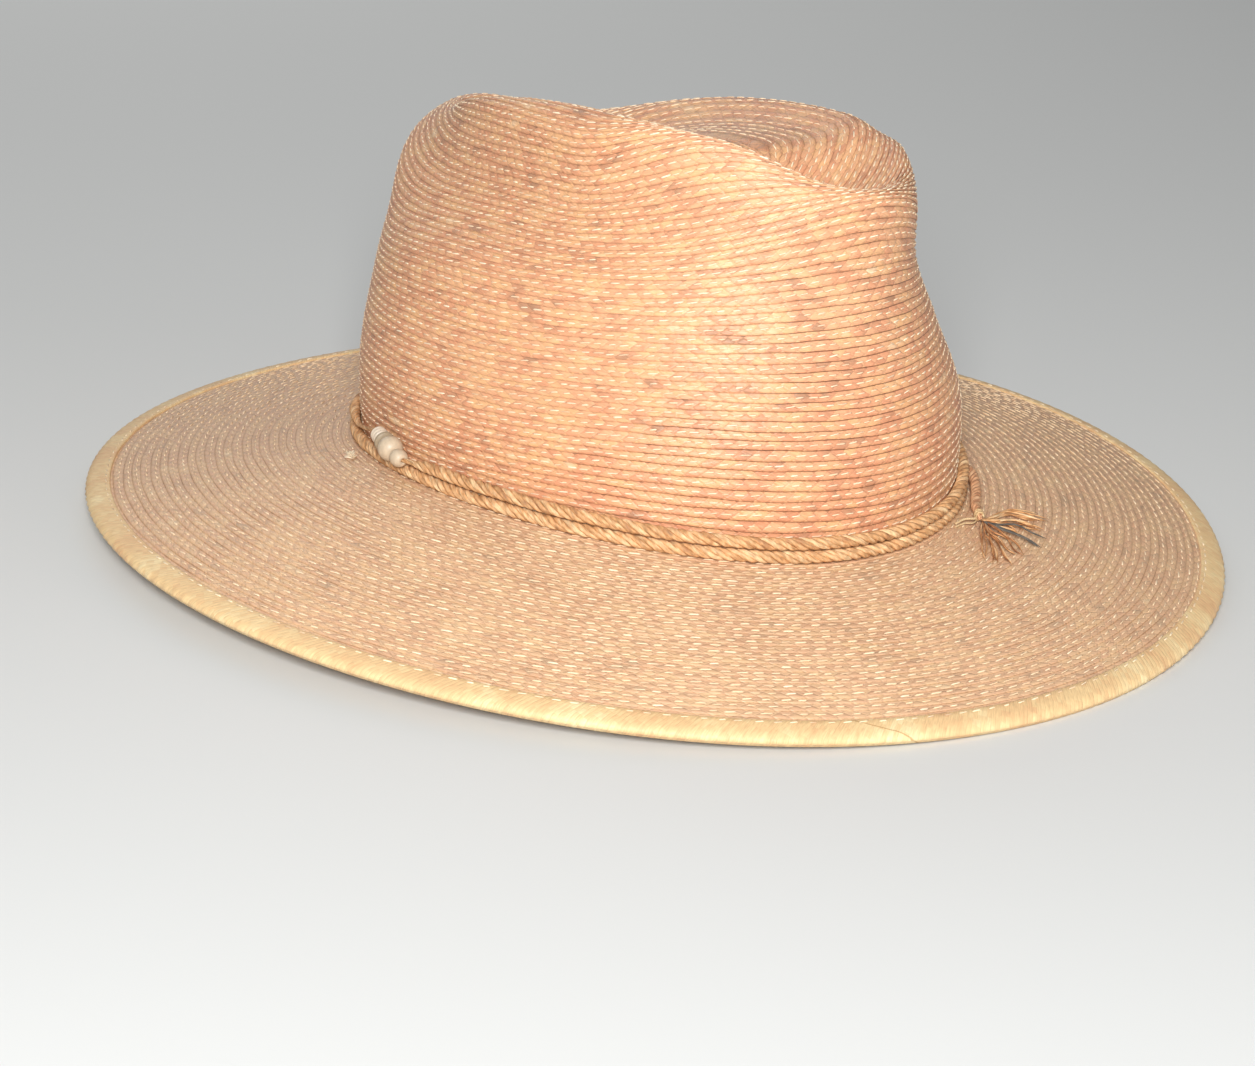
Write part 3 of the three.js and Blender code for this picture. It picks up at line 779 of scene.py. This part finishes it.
def strand_straw(name, stops, fibres, patch, roughness=0.6, furrow=0.66):
    """Twisted or loose straw: shades that change from strand to strand and, every patch of millimetres,
    along it, with this many fine fibres across each strand, the darkest of them furrow grey."""
    material, tree, shader = new_material(name)
    s, v = braid_map(tree)
    island = add_node(tree, "ShaderNodeNewGeometry").outputs["Random Per Island"]
    own = scaled(island, 37.0)
    change = noise(combined(scaled(s, 1 / patch), scaled(v, 3.0), own), 2.0)
    tone = scaled(island, 0.5, scaled(change, 1.6, -0.55))
    lines = noise(combined(scaled(s, 0.3), scaled(v, fibres), own), 4.0)
    shade = shaded(ramp(tone, stops), lines, (0.32, furrow), (0.6, 1.1))
    finish(shader, shade, lines, 0.4, 1.0, roughness, specular=0.35)
    return material


def bone_bead(name, colour, roughness):
    """Turned bone or wood beads: nearly even cream with faint rings and a satin polish."""
    material, tree, shader = new_material(name)
    grain = noise(object_place(tree), 4.0, scale=900.0)
    shade = shaded(colour, grain, (0.3, 0.86), (0.65, 1.0))
    finish(shader, shade, grain, 0.1, 0.5, roughness, specular=0.5)
    return material


def painted_board(name, colour):
    """Matt painted board under the hat: even and pale."""
    material, _, shader = new_material(name)
    shader.inputs["Base Color"].default_value = tuple(colour)
    shader.inputs["Roughness"].default_value = 0.85
    shader.inputs["Specular IOR Level"].default_value = 0.2
    return material


# The pieces

CROWN_LIMITS = (0.0, float(CORE_ROW))
BRIM_LIMITS = (-float(BRIM_ROWS), 0.0)

# Columns of the braid sheets, the brim's relief as a share of the crown's, and the rows that are sewn
CROWN_COLUMNS = 240
BRIM_COLUMNS = 360
BRIM_RELIEF = 0.68
CROWN_SEWN = (0.4, 59.2)
BRIM_SEWN = (-BRIM_ROWS * 0.945, -0.6)


class HAT_OT_crown(bpy.types.Operator):
    """Rows of sewn braid from the core of the spiral down to the crown's foot"""

    bl_idname = "hat.crown"
    bl_label = "Crown"

    def execute(self, context):
        sizes, colours = context.scene.hat_sizes, context.scene.hat_colours
        crown = braid_sheet("crown_braid", CORE_ROW, -1, CROWN_COLUMNS, crown_point, crown_normal,
                            CROWN_LIMITS, sizes.braid_thickness / MM)
        # Deep painted shadow in the crown's seams
        worn = palm_leaf_braid(
            "plaited palm leaf, crown", colours, fading=0.0, seam_shade=0.34, shadow_start=-0.23,
            shadow_lean=(-4.0, 5.0, 6.0), low_front_tint=(0.95, 0.9, 0.88, 1.0), seed=3.0)
        dress(crown, worn, "crown_braid", "crown")
        return {"FINISHED"}


class HAT_OT_brim(bpy.types.Operator):
    """Rows of sewn braid from the crown's foot out to the binding"""

    bl_idname = "hat.brim"
    bl_label = "Brim"

    def execute(self, context):
        sizes, colours = context.scene.hat_sizes, context.scene.hat_colours
        brim = braid_sheet("brim_braid", 0, -BRIM_ROWS - 1, BRIM_COLUMNS, brim_row_point, brim_normal,
                           BRIM_LIMITS, BRIM_RELIEF * sizes.braid_thickness / MM)
        # Lighter painted shadow in the brim's seams
        worn = palm_leaf_braid(
            "plaited palm leaf, brim", colours, fading=0.42, seam_shade=0.7, shadow_start=0.0,
            shadow_lean=(0.0, 0.0, 0.0), low_front_tint=grey(1.0), seed=8.0)
        dress(brim, worn, "brim_braid", "brim")
        return {"FINISHED"}


class HAT_OT_stitches(bpy.types.Operator):
    """Running stitches of pale thread along every row"""

    bl_idname = "hat.stitches"
    bl_label = "Stitches"

    def execute(self, context):
        sizes, colours = context.scene.hat_sizes, context.scene.hat_colours
        thread = strand_straw(
            "waxed cotton thread", ((0.1, "#efcca6"), (0.5, colours.thread), (0.9, "#fff0d4")),
            fibres=3.0, patch=5.0, furrow=0.85)
        crown = stitch_line("crown_stitches", CORE_ROW, 0, crown_point, crown_normal, CROWN_SEWN, sizes,
                            length=1.5, width=1.05, relief=1.0, spacing=1.0, seed=5)
        dress(crown, thread, "crown_braid")
        faded = strand_straw(
            "waxed cotton thread, faded", ((0.1, "#e4c29e"), (0.5, "#f0d3ad"), (0.9, "#f8e3c5")),
            fibres=3.0, patch=5.0, furrow=0.85)
        brim = stitch_line("brim_stitches", 0, -BRIM_ROWS, brim_row_point, brim_normal, BRIM_SEWN, sizes,
                           length=1.75, width=1.25, relief=BRIM_RELIEF, spacing=1.2, seed=6)
        dress(brim, faded, "brim_braid")
        return {"FINISHED"}


# Section of the binding, in three parts. On top, from the inner edge: distance in from the outermost
# line as a share of the width, and height over the brim. Then distance in and height over the floor
# under the edge, and distance in and depth below the brim's top
BINDING_TOP = ((1.0, 0.2), (0.985, 0.6), (0.93, 0.85), (0.7, 0.95), (0.45, 0.98), (0.26, 0.9),
               (0.13, 0.6), (0.045, 0.05), (0.0, -0.8))
BINDING_EDGE = ((0.3, 1.3), (0.9, 0.4), (1.7, 0.0), (2.6, 0.0))
BINDING_UNDER = ((4.5, 2.6), (6.5, 2.6))
BINDING_DEPTH = 2.6
LIP_DEPTH = 1.2
FLOOR_GAP = 0.02

# Plait of the binding: distance from one strip to the next, how high the strips stand, how much of a
# strip they shift for each millimetre across, and how far the outer edge is scalloped
BINDING_PITCH = 5.2
BINDING_WAVE = 0.03
WAVE_LEAN = 0.34
BINDING_SCALLOP = 0.18
BINDING_COLUMNS = 900

# The binding's line of stitches: distance from its inner edge, and height over the brim
SEWN_INSET = 1.3
SEWN_HEIGHT = 0.72


class HAT_OT_binding(bpy.types.Operator):
    """Plaited straw strip folded over the brim's edge, with its own line of stitches"""

    bl_idname = "hat.binding"
    bl_label = "Edge binding"

    def execute(self, context):
        sizes, colours = context.scene.hat_sizes, context.scene.hat_colours
        width = sizes.binding_width / MM
        angle = np.linspace(-np.pi, np.pi, BINDING_COLUMNS + 1)
        along = run_along(edge_point(0, angle))
        along *= round(along[-1] / BINDING_PITCH) * BINDING_PITCH / along[-1]
        rings, across = [], []
        for share, height in BINDING_TOP:
            inset = share * width
            turns = along / BINDING_PITCH
            wave = BINDING_WAVE * np.sin(2 * np.pi * (turns + WAVE_LEAN * inset)) * (height > 0.5)
            scallop = BINDING_SCALLOP * np.sin(2 * np.pi * turns) * (share < 0.3)
            rings.append(edge_point(inset + scallop, angle) + UPWARDS * (height + wave)[:, None])
            across.append(-inset)
        for inset, height in BINDING_EDGE:
            ring = edge_point(inset, angle)
            ring[:, 2] = brim_rise(angle) + height + FLOOR_GAP
            rings.append(ring)
            across.append(inset)
        for inset, depth in (*BINDING_UNDER, (width, BINDING_DEPTH), (width, LIP_DEPTH)):
            rings.append(edge_point(inset, angle) - UPWARDS * depth)
            across.append(inset)
        rings.append(rings[0])
        across = np.array(across + [width])

        def uv_of(ring, column, low):
            return np.stack([along[column], across[ring]], -1)

        binding = grid_sheet("binding_strip", np.array(rings)[None], uv_of)
        dress(binding, plaited_straw("plaited wheat straw", colours), "binding_straw", "edge_binding")

        def sewn_line(row, angle):
            return edge_point(width - SEWN_INSET, angle) + UPWARDS * SEWN_HEIGHT

        def sewn_normal(row, angle):
            return brim_normal(np.full_like(angle, -0.9 * BRIM_ROWS), angle)

        seam = stitch_line("binding_stitches", 0.5, -0.5, sewn_line, sewn_normal, (-2, 2), sizes,
                           length=1.4, width=1.2, relief=0.6, spacing=1.2, seed=9)
        thread = strand_straw(
            "waxed cotton thread, edge", ((0.1, "#ebc49c"), (0.5, colours.thread), (0.9, "#fde8c4")),
            fibres=3.0, patch=5.0)
        dress(seam, thread, "binding_straw")
        return {"FINISHED"}


# Where the upper cord gets thinner and thicker again beside the beads, in degrees, and its radius there
NARROWING = (-136, -118, -96.6, -91.5)
RADIUS_IN_BEADS = 0.7


class HAT_OT_band(bpy.types.Operator):
    """The two turns of the twisted cord band; the upper turn is drawn thin through the beads"""

    bl_idname = "hat.band"
    bl_label = "Band cords"

    def execute(self, context):
        sizes, colours = context.scene.hat_sizes, context.scene.hat_colours
        golden = strand_straw(
            "twisted palm-fibre cord",
            ((0.1, "#b5835a"), (0.35, "#d09e6c"), (0.6, colours.cord), (0.95, "#efcd9e")),
            fibres=7.0, patch=3.0)
        radius = sizes.cord_radius / MM
        lay = sizes.cord_lay / MM
        degrees, lower = band_path(False)
        size = np.full(len(degrees), radius)
        dress(laid_cord("band_lower", lower, size, lay, True), golden, "cord", "band_cord_lower")
        degrees, upper = band_path(True)
        narrow = np.interp(degrees, NARROWING, (0.0, 1.0, 1.0, 0.0))
        narrow = narrow * narrow * (3 - 2 * narrow)
        size = radius - (radius - RADIUS_IN_BEADS) * narrow
        dress(laid_cord("band_upper", upper, size, lay, True), golden, "cord", "band_cord_upper")
        return {"FINISHED"}


# Beads: piece, node, slot, length, radius, how square the outline is, and the depth of its ridges. Then
# the radius of the hole, the width of the flat round it, and the steps along and round a bead
BEADS = (
    ("small_bead", "bead_small", "bead_cream", 5.0, 2.75, 1.0, 0.0),
    ("large_bead", "bead_large", "bead_cream", 6.7, 3.9, 1.0, 0.0),
    ("disc_bead", "bead_disc", "bead_grey", 2.0, 3.2, 1.3, 0.0),
    ("ring_bead", "bead_ring", "bead_white", 4.2, 2.65, 2.2, 0.12),
)
BEAD_HOLE = 0.8
BEAD_FLAT = 0.2
BEAD_STEPS = 24
BEAD_TURN_STEPS = 36


def bead_outline(length, radius, square, ridge):
    """Radius and place along the bead's axis, over its outside and back through the hole."""
    rim = BEAD_HOLE + BEAD_FLAT
    outline = []
    for k in range(BEAD_STEPS + 1):
        share = 2 * k / BEAD_STEPS - 1
        bulge = max(0.0, 1 - abs(share) ** (2 * square)) ** 0.5
        bulge -= ridge * (1 - math.cos(3 * math.pi * share))
        outline.append((rim + (radius - rim) * bulge, share * length / 2))
    return outline + [(BEAD_HOLE, 0.48 * length), (BEAD_HOLE, -0.48 * length)]


class HAT_OT_beads(bpy.types.Operator):
    """Four drilled beads on the upper cord"""

    bl_idname = "hat.beads"
    bl_label = "Beads"

    def execute(self, context):
        finishes = {
            "bead_cream": bone_bead("polished bone", context.scene.hat_colours.bead, 0.42),
            "bead_grey": bone_bead("weathered bone", linear("#a08f76"), 0.5),
            "bead_white": bone_bead("pale shell", linear("#d1c1ac"), 0.45),
        }
        _, upper = band_path(True)
        for name, node, slot, *shape in BEADS:
            low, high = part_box(node)
            centre = (Vector(low) + Vector(high)) / 2
            near = np.argmin(np.linalg.norm(upper * MM - np.array(centre), axis=-1))
            axis = Vector(upper[near + 2] - upper[near - 2]).normalized()
            bm = bmesh.new()
            outline = [bm.verts.new((reach * MM, 0, z * MM)) for reach, z in bead_outline(*shape)]
            edges = [bm.edges.new((a, b)) for a, b in zip(outline, outline[1:] + outline[:1])]
            bmesh.ops.spin(bm, geom=outline + edges, cent=(0, 0, 0), axis=(0, 0, 1), angle=2 * math.pi,
                           steps=BEAD_TURN_STEPS, use_merge=True)
            bmesh.ops.remove_doubles(bm, verts=bm.verts, dist=SHORTEST_EDGE)
            turn_outward(bm)
            turn = Vector((0, 0, 1)).rotation_difference(axis).to_matrix().to_4x4()
            bmesh.ops.transform(bm, matrix=Matrix.Translation(centre) @ turn, verts=bm.verts)
            mesh = bpy.data.meshes.new(name)
            bm.to_mesh(mesh)
            bm.free()
            dress(add_piece(name, mesh), finishes[slot], slot, node)
        return {"FINISHED"}


# Cord end: steps along it, the one where its neck is tied, the lay of its strands, and its radius at
# shares of its length
CORD_END_STEPS = 80
NECK = 72
CORD_END_LAY = 11.0
CORD_END_RADIUS = ((0, 0.15, 0.7, 0.86, 1), (0.9, 1.6, 1.5, 1.1, 0.8))

# Tie: steps, turns, and the width and radius of the wrapped part. Then its two tails, each as three
# places (angle, distance out, height) and how far under the neck it ends, and the radii of its runs
TIE_STEPS = 90
TIE_TURNS = 4.3
TIE_WIDTH = 2.6
TIE_REACH = 1.2
TIE_TAILS = (
    (((20.4, 4.6, 0.8), (22.2, 6.4, 1.9), (23.2, 9, 2.4)), 1.2),
    (((19.6, 5, 0.5), (21.4, 7, 1.3), (22.4, 9.2, 1.6)), 1.5),
)
TIE_RADII = (0.36, 0.38, 0.28)
TIE_SIDES = 7


class HAT_OT_cord_end(bpy.types.Operator):
    """The end of the cord that leaves the band, and the pale thread that ties it"""

    bl_idname = "hat.cord_end"
    bl_label = "Cord end and tie"

    def execute(self, context):
        worn = strand_straw(
            "twisted palm-fibre cord, worn end", ((0.1, "#b57b58"), (0.5, "#d9a47a"), (0.9, "#e9be94")),
            fibres=7.0, patch=3.0)
        path = curve_through([lay_point(*stop) for stop in CORD_END_ROUTE], CORD_END_STEPS)
        size = np.interp(np.linspace(0, 1, CORD_END_STEPS), *CORD_END_RADIUS)
        dress(laid_cord("cord_tail", path, size, CORD_END_LAY, False), worn, "cord_end", "cord_end")

        pale = strand_straw("pale fibre tie", ((0.1, "#c69f6e"), (0.5, "#dfbf90"), (0.9, "#f0d8ac")),
                            fibres=5.0, patch=2.0)
        neck = path[NECK]
        ahead = unit(path[NECK + 2] - path[NECK - 2])
        across = unit(np.cross(UPWARDS, ahead))
        over = np.cross(ahead, across)
        share = np.linspace(0, 1, TIE_STEPS)[:, None]
        turn = 2 * np.pi * TIE_TURNS * share
        forward = TIE_WIDTH * share - 1.2 + 0.2 * np.sin(1.7 * turn)
        reach = TIE_REACH + 0.12 * np.sin(2.3 * turn)
        runs = [neck + ahead * forward + reach * (across * np.sin(turn) + over * np.cos(turn))]
        for places, below in TIE_TAILS:
            tail = [lay_point(*place) for place in places] + [neck - over * below]
            runs.append(curve_through(tail, TIE_STEPS))
        radius = np.tile(np.array(TIE_RADII)[:, None], TIE_STEPS)
        radius[:, [0, -1]] = 0
        tie = grid_sheet("tie_wrap", tube_points(np.array(runs), radius, TIE_SIDES), strand_uv)
        dress(tie, pale, "thread", "tie_thread")
        return {"FINISHED"}


# Tassel strands: steps along them, their sides, and how they thin out at shares of their length
TASSEL_STEPS = 20
TASSEL_SIDES = 6
TASSEL_THINNING = ((0, 0.1, 0.85, 1), (0, 1, 0.75, 0))


class HAT_OT_tassel(bpy.types.Operator):
    """Frayed strands past the knot, golden and brown with a few dark ones"""

    bl_idname = "hat.tassel"
    bl_label = "Tassel"

    def execute(self, context):
        finishes = {
            "tassel_golden": strand_straw(
                "frayed palm fibre",
                ((0.08, "#9a6640"), (0.28, "#cf945f"), (0.55, "#ebbb86"), (0.9, "#fbe3b8")),
                fibres=4.0, patch=6.0),
            "tassel_brown": strand_straw(
                "frayed brown palm fibre",
                ((0.12, "#7a4d30"), (0.34, "#b67a4d"), (0.62, "#dba673"), (0.95, "#f3d7aa")),
                fibres=4.0, patch=6.0),
            "tassel_dark": strand_straw(
                "frayed dark palm fibre", ((0.1, "#4a4540"), (0.5, "#6e675e"), (0.9, "#8f8474")),
                fibres=4.0, patch=6.0, roughness=0.65),
        }
        rng = np.random.default_rng(21)
        knot = lay_point(*KNOT)
        groups = {name: ([], []) for name in finishes}
        for middle, middle_out, tip, tip_out, spread, shorter, count, radius, group in TASSEL:
            for strand in range(count):
                side = 2 * (strand + 0.5) / count - 1
                aim = tip + spread * side + rng.normal(0, 0.15)
                bend = middle + 0.6 * spread * side + rng.normal(0, 0.4)
                reach = tip_out - shorter * rng.uniform(0, 1)
                kink = rng.normal(0, 0.55)
                lift = rng.uniform(0.1, 1.4) + (group == "tassel_dark")
                route = [
                    knot + rng.normal(0, 0.3, 3),
                    lay_point((KNOT[0] + bend) / 2 + kink, (KNOT[1] + middle_out) / 2, 2.2 + 0.4 * lift),
                    lay_point(bend, middle_out, 1.2 + lift),
                    lay_point(0.45 * bend + 0.55 * aim + kink, 0.45 * middle_out + 0.55 * reach,
                              0.8 + lift),
                    lay_point(aim, reach, 0.3 + 0.5 * lift),
                ]
                runs, radii = groups[group]
                runs.append(curve_through(route, TASSEL_STEPS))
                radii.append(radius * rng.uniform(0.7, 1.15))
        thinning = np.interp(np.linspace(0, 1, TASSEL_STEPS), *TASSEL_THINNING)
        for name, (runs, radii) in groups.items():
            points = tube_points(np.array(runs), np.array(radii)[:, None] * thinning, TASSEL_SIDES)
            node = ("tassel",) if name == "tassel_golden" else ()
            dress(grid_sheet(name, points, strand_uv), finishes[name], "tassel_strands", *node)
        return {"FINISHED"}


# Frayed nubs: their angle and distance out along the brim, the strands of each, and the radius and the
# sides of a strand
NUBS = ((-115.8, 7.0), (-114.4, 7.7))
NUB_STRANDS = 14
NUB_RADII = (0.0, 0.3, 0.32, 0.28, 0.2, 0.0)
NUB_SIDES = 5


class HAT_OT_frayed_nubs(bpy.types.Operator):
    """Two tiny frayed ends of braid that stand out beside the band"""

    bl_idname = "hat.frayed_nubs"
    bl_label = "Frayed nubs"

    def execute(self, context):
        rng = np.random.default_rng(4)
        runs = []
        for degrees, out in NUBS:
            for _ in range(NUB_STRANDS):
                foot = lay_point(degrees + rng.normal(0, 0.3), out + rng.normal(0, 0.4), 0.1)
                end = degrees + rng.normal(0.2, 1.0)
                tip = lay_point(end, out + rng.normal(0.4, 1.1), rng.uniform(0.8, 2.0))
                middle = (foot + tip) / 2 + rng.normal(0, 0.15, 3)
                runs.append(curve_through([foot, middle, tip], len(NUB_RADII)))
        points = tube_points(np.array(runs), np.tile(NUB_RADII, (len(runs), 1)), NUB_SIDES)
        pale = strand_straw("frayed leaf tip", ((0.1, "#e4cba6"), (0.9, "#f6e8d0")),
                            fibres=4.0, patch=2.0, roughness=0.7)
        dress(grid_sheet("frayed_nubs", points, strand_uv), pale, "brim_braid")
        return {"FINISHED"}


# Camera: azimuth, elevation and roll in degrees, its place before it is turned and the height of its
# pivot in millimetres, and the focal length in image widths
CAMERA_TURN = (-42.92, 20.68, 3.2)
CAMERA_PLACE = (-7.35, -7.44, 1000.0)
PIVOT_HEIGHT = 2.3
CAMERA_FOCUS = 3156 / 1255
SENSOR_WIDTH = 36.0

# Lights: place and size in metres, and power in watts. They are turned to one point
LIGHTS = (
    ("key", (-0.88, -0.91, 0.64), 0.35, 23.3),
    ("side_fill", (0.36, -1.35, 0.3), 0.6, 1.9),
    ("back_fill", (0.5, 1.2, 0.8), 1.2, 4.6),
)
LIT_POINT = (0, 0, 0.05)
STUDIO_LIGHT = 0.27
FLOOR_SIZE = 3.0


class HAT_OT_stage(bpy.types.Operator):
    """The plain floor, soft studio lights and the camera at the photo's angle"""

    bl_idname = "hat.stage"
    bl_label = "Stage"

    def execute(self, context):
        scene = context.scene
        bm = bmesh.new()
        bmesh.ops.create_grid(bm, x_segments=1, y_segments=1, size=FLOOR_SIZE)
        mesh = bpy.data.meshes.new("floor")
        bm.to_mesh(mesh)
        bm.free()
        mesh.materials.append(painted_board("matt painted board", scene.hat_colours.floor))
        add_piece("floor", mesh)

        data = bpy.data.cameras.new("photo_camera")
        data.sensor_width = SENSOR_WIDTH
        data.lens = CAMERA_FOCUS * SENSOR_WIDTH
        data.clip_start = 0.01
        scene.camera = add_piece("photo_camera", data)
        azimuth, elevation, roll = (math.radians(turn) for turn in CAMERA_TURN)
        scene.camera.matrix_world = (
            Matrix.Translation((0, 0, PIVOT_HEIGHT * MM)) @ Matrix.Rotation(azimuth, 4, "Z")
            @ Matrix.Rotation(math.pi / 2 - elevation, 4, "X") @ Matrix.Rotation(roll, 4, "Z")
            @ Matrix.Translation(Vector(CAMERA_PLACE) * MM))

        for name, place, size, power in LIGHTS:
            light = bpy.data.lights.new(name, "AREA")
            light.size = size
            light.energy = power
            lamp = add_piece(name, light)
            lamp.location = place
            lamp.rotation_euler = (Vector(place) - Vector(LIT_POINT)).to_track_quat("Z", "Y").to_euler()
        world = bpy.data.worlds.new("studio")
        world.use_nodes = True
        background = world.node_tree.nodes["Background"]
        background.inputs[0].default_value = linear("#e9eaec")
        background.inputs[1].default_value = STUDIO_LIGHT
        scene.view_settings.view_transform = "Standard"
        scene.world = world
        return {"FINISHED"}


class HAT_PT_pieces(bpy.types.Panel):
    """Lists the pieces of the hat, in the order that they are built"""

    bl_label = "Straw hat"
    bl_idname = "HAT_PT_pieces"
    bl_space_type = "VIEW_3D"
    bl_region_type = "UI"
    bl_category = "Straw hat"

    def draw(self, context):
        for settings in (context.scene.hat_sizes, context.scene.hat_colours):
            for name in settings.__annotations__:
                self.layout.prop(settings, name)
        for piece in PIECES:
            self.layout.operator(piece.bl_idname)


PIECES = (
    HAT_OT_stage, HAT_OT_crown, HAT_OT_brim, HAT_OT_stitches, HAT_OT_binding, HAT_OT_band, HAT_OT_beads,
    HAT_OT_cord_end, HAT_OT_tassel, HAT_OT_frayed_nubs)
CLASSES = (HatSizes, HatColours) + PIECES + (HAT_PT_pieces,)


def register():
    for cls in CLASSES:
        bpy.utils.register_class(cls)
    bpy.types.Scene.hat_sizes = bpy.props.PointerProperty(type=HatSizes)
    bpy.types.Scene.hat_colours = bpy.props.PointerProperty(type=HatColours)


def unregister():
    del bpy.types.Scene.hat_colours
    del bpy.types.Scene.hat_sizes
    for cls in reversed(CLASSES):
        bpy.utils.unregister_class(cls)


def main():
    register()
    for piece in PIECES:
        group, name = piece.bl_idname.split(".")
        getattr(getattr(bpy.ops, group), name)()


if __name__ == "__main__":
    main()
